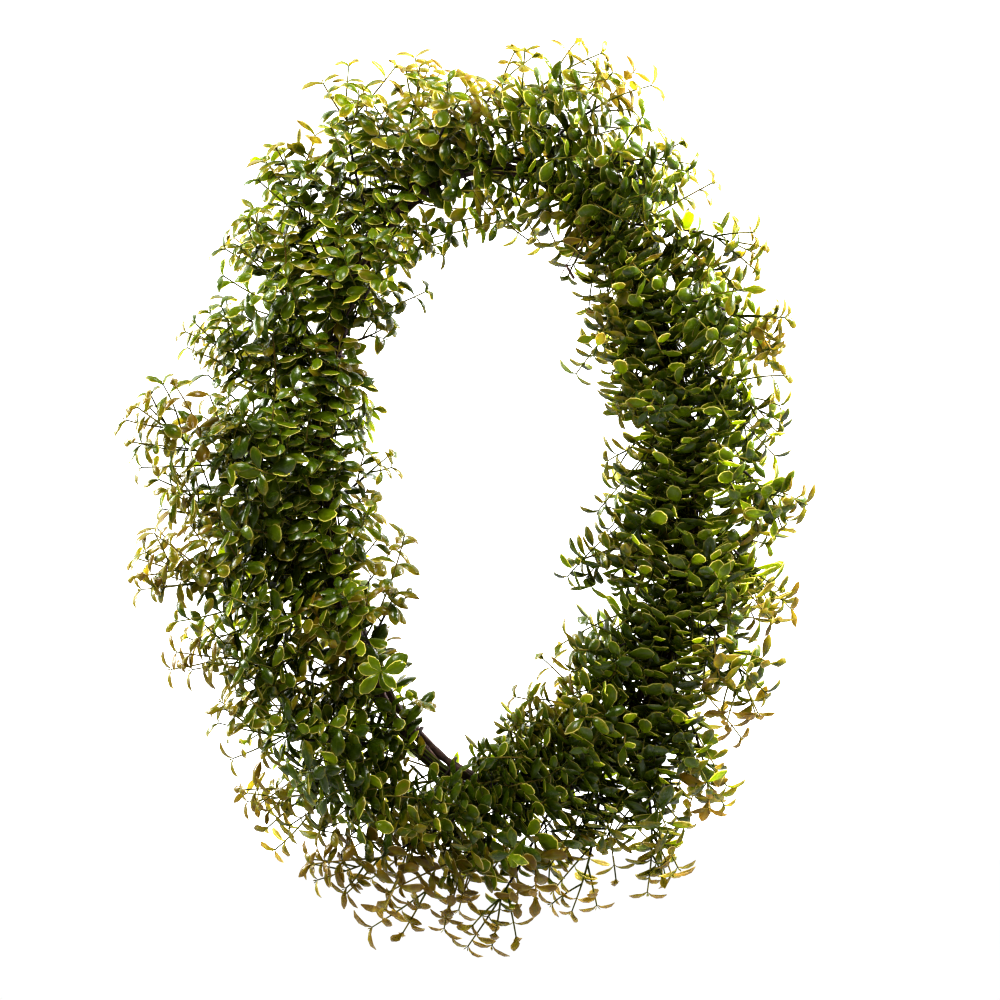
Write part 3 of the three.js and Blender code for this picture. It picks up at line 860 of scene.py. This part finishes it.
def makeLeafMaterial(name, isBack):
    material, tree = newMaterial(name)
    edge, across = attribute(tree, "leafEdge"), attribute(tree, "leafAcross")
    along, age, lot = [attribute(tree, key) for key in ("leafAlong", "leafAge", "leafLot")]
    patch = patches(tree, *leafLook["patches"])
    grain = patches(tree, *leafLook["grain"])
    colour, agedTone, veins = leafColour(tree, isBack, patch, age, lot, along, across)
    margin = creamMargin(tree, isBack, patch, age, lot, along, edge)
    colour = mixColour(tree, margin, colour, marginLook["cream"])

    height = weighted(tree, veins, -1.0, grain, shineLook["grainShare"])
    bump = node(tree, "Bump", None, Strength=shineLook["bump"], Distance=shineLook["depth"],
                Height=height).outputs[0]
    rough, specular = shineLook["backRoughness"], shineLook["backSpecular"]
    if not isBack:
        rough = ranged(tree, patch, *shineLook["faceRoughness"])
        specular = shineLook["faceSpecular"]
    shell = node(tree, "BsdfPrincipled", None, Normal=bump, Roughness=rough)
    tree.links.new(colour, shell.inputs["Base Color"])
    shell.inputs["Specular IOR Level"].default_value = specular

    glow = node(tree, "Gamma", None, Color=colour, Gamma=glowLook["gamma"]).outputs[0]
    tint = mixColour(tree, ranged(tree, agedTone, *glowLook["grownMix"]),
                     glowLook["young"], glowLook["grown"])
    tint = mixColour(tree, ranged(tree, agedTone, *glowLook["oldMix"]), tint, glowLook["old"])
    glow = mixColour(tree, 1.0, glow, tint, "MULTIPLY")
    through = node(tree, "BsdfTranslucent", None, Color=glow)
    share = maths(tree, "MAXIMUM", ranged(tree, agedTone, *glowLook["byAge"]),
                  ranged(tree, lot, *glowLook["byLeaf"]))
    blend = node(tree, "MixShader", None, i0=share, i1=shell.outputs[0], i2=through.outputs[0])
    node(tree, "OutputMaterial", None, Surface=blend.outputs[0])
    return material


wrapLook = {
    "stops": [(0.3, (0.012, 0.007, 0.005)), (0.6, (0.045, 0.025, 0.015)),
              (0.8, (0.090, 0.055, 0.035))],
    "scale": 900, "stretch": (1, 1, 1), "roughness": 0.75, "depth": 0.0004,
}
vineLook = {
    "stops": [(0.3, (0.020, 0.009, 0.006)), (0.52, (0.085, 0.038, 0.022)),
              (0.66, (0.170, 0.090, 0.055)), (0.80, (0.36, 0.23, 0.12))],
    "scale": 500, "stretch": (0.35, 2.2, 0.35), "roughness": 0.7, "depth": 0.0008,
}
barkPattern = {"grainDetail": 5, "grainShare": 0.7, "bump": 0.7,
               "spotScale": 0.22, "spotDetail": 2, "spotShare": 0.3}


def makeBark(name, look):
    material, tree = newMaterial(name)
    grain = patches(tree, look["scale"], barkPattern["grainDetail"], look["stretch"])
    spots = patches(tree, look["scale"] * barkPattern["spotScale"], barkPattern["spotDetail"])
    tone = weighted(tree, grain, barkPattern["grainShare"], spots, barkPattern["spotShare"])
    colour = ramp(tree, tone, look["stops"])
    bump = node(tree, "Bump", None, Strength=barkPattern["bump"], Distance=look["depth"],
                Height=grain).outputs[0]
    shell = node(tree, "BsdfPrincipled", None, Normal=bump, Roughness=look["roughness"])
    tree.links.new(colour, shell.inputs["Base Color"])
    node(tree, "OutputMaterial", None, Surface=shell.outputs[0])
    return material


twigLook = {
    "stops": [(0.0, (0.028, 0.052, 0.004)), (0.35, (0.095, 0.115, 0.010)),
              (0.7, (0.230, 0.190, 0.025)), (1.0, (0.240, 0.150, 0.025))],
    "patches": (400, 3), "byPatch": 0.5, "bump": 0.4, "depth": 0.0003,
    "roughness": 0.7, "specular": 0.15,
}


def makeTwigMaterial():
    material, tree = newMaterial("twigBark")
    age = attribute(tree, "leafAge")
    patch = patches(tree, *twigLook["patches"])
    colour = ramp(tree, varied(tree, age, patch, twigLook["byPatch"]), twigLook["stops"])
    bump = node(tree, "Bump", None, Strength=twigLook["bump"], Distance=twigLook["depth"],
                Height=patch).outputs[0]
    shell = node(tree, "BsdfPrincipled", None, Normal=bump, Roughness=twigLook["roughness"])
    shell.inputs["Specular IOR Level"].default_value = twigLook["specular"]
    tree.links.new(colour, shell.inputs["Base Color"])
    node(tree, "OutputMaterial", None, Surface=shell.outputs[0])
    return material


leafFace = makeLeafMaterial("leafFace", False)
leafBack = makeLeafMaterial("leafBack", True)
twigBark = makeTwigMaterial()
stemWrap = makeBark("stemWrap", wrapLook)
vineBark = makeBark("vineBark", vineLook)
print("materials made")

leafMeshes = [makeLeaf(f"leaf{bend}", bend, leafForm) for bend in blade["bends"]]
budMeshes = [makeLeaf(f"bud{bend}", bend, budForm) for bend in blade["bends"]]
print("leaf of", len(leafMeshes[0].polygons), "faces")
makeVine("vineLong", ring["vineStart"], ring["longTurns"] - ring["cutGap"], "vine_long")
makeVine("vineShort", ring["vineStart"] + ring["longTurns"],
         ring["lanes"] - ring["longTurns"] - ring["cutGap"], "vine_short")
makeVineShoots()
print("ring of vine made")
leafTotal = sum([makeSpray(spray) for spray in sprayPlan()])
print("sprays made, leaves:", leafTotal)
for leafMesh in leafMeshes + budMeshes:
    bpy.data.meshes.remove(leafMesh)

studio = {
    "floorZ": -1.25, "floorSize": 14, "floorColour": (0.3, 0.3, 0.3, 1), "floorRoughness": 0.9,
    "white": 1.02, "worldTurn": (-0.2, 0.4), "worldLight": (0.06, 3.2),
    "distance": 3.0, "view": 0.828, "centre": (-0.0041, -0.2684), "sensor": 36,
    "gamma": 0.82, "filter": 1.3,
}
lamps = {
    "keyLight": {"place": (-0.24, -0.62, 0.76), "target": (0, 0, -0.15), "size": 0.5,
                 "power": 22, "colour": (1, 1, 1)},
    "sideLight": {"place": (1.6, 0.22, 0.85), "target": (0, 0, -0.25), "size": 0.8,
                  "power": 300, "colour": (0.84, 0.81, 0.95)},
    "leftLight": {"place": (-1.5, 0.4, 0.2), "target": (0, 0, -0.25), "size": 0.8,
                  "power": 65, "colour": (0.96, 0.98, 1)},
}


def makeFloor():
    bm = bmesh.new()
    bmesh.ops.create_grid(bm, x_segments=1, y_segments=1, size=studio["floorSize"] / 2)
    bmesh.ops.translate(bm, verts=bm.verts[:], vec=(0, 0, studio["floorZ"]))
    floor = bpy.data.objects.new("floor", bpy.data.meshes.new("floor"))
    bm.to_mesh(floor.data)
    bm.free()
    material, tree = newMaterial("paleFloor")
    plain = node(tree, "BsdfPrincipled", None, Roughness=studio["floorRoughness"])
    plain.inputs["Base Color"].default_value = studio["floorColour"]
    white = node(tree, "Emission", None, Strength=studio["white"])
    seen = node(tree, "LightPath").outputs["Is Camera Ray"]
    mixed = node(tree, "MixShader", None, i0=seen, i1=plain.outputs[0], i2=white.outputs[0])
    node(tree, "OutputMaterial", None, Surface=mixed.outputs[0])
    floor.data.materials.append(material)
    bpy.context.scene.collection.objects.link(floor)


def makeWorld():
    # seen white all round, but its light comes from behind the wreath
    world = bpy.data.worlds.new("studio")
    world.use_nodes = True
    tree = world.node_tree
    tree.nodes.clear()
    heading = node(tree, "TexCoord").outputs["Generated"]
    behind = node(tree, "SeparateXYZ", None, Vector=heading).outputs[1]
    bright = ranged(tree, behind, *studio["worldTurn"], *studio["worldLight"])
    seen = node(tree, "LightPath").outputs["Is Camera Ray"]
    white = maths(tree, "MULTIPLY", seen, studio["white"])
    strength = maths(tree, "MAXIMUM", bright, white)
    back = node(tree, "Background", None, Color=(1, 1, 1, 1), Strength=strength)
    node(tree, "OutputWorld", None, Surface=back.outputs[0])
    bpy.context.scene.world = world


def addLamp(name, lamp):
    light = bpy.data.lights.new(name, "AREA")
    light.size = lamp["size"]
    light.energy = lamp["power"]
    light.color = lamp["colour"]
    holder = bpy.data.objects.new(name, light)
    holder.location = lamp["place"]
    aim = Vector(lamp["target"]) - Vector(lamp["place"])
    holder.rotation_euler = aim.to_track_quat("-Z", "Y").to_euler()
    bpy.context.scene.collection.objects.link(holder)


def makeCamera():
    camera = bpy.data.cameras.new("camera")
    camera.lens = studio["sensor"] * studio["distance"] / studio["view"]
    camera.sensor_width = studio["sensor"]
    holder = bpy.data.objects.new("camera", camera)
    holder.location = (studio["centre"][0], -studio["distance"], studio["centre"][1])
    holder.rotation_euler = (math.radians(90), 0, 0)
    bpy.context.scene.collection.objects.link(holder)
    bpy.context.scene.camera = holder
    bpy.context.scene.view_settings.view_transform = "Standard"
    bpy.context.scene.view_settings.gamma = studio["gamma"]
    bpy.context.scene.cycles.filter_width = studio["filter"]


makeFloor()
makeWorld()
for name, lamp in lamps.items():
    addLamp(name, lamp)
makeCamera()
print("studio made")
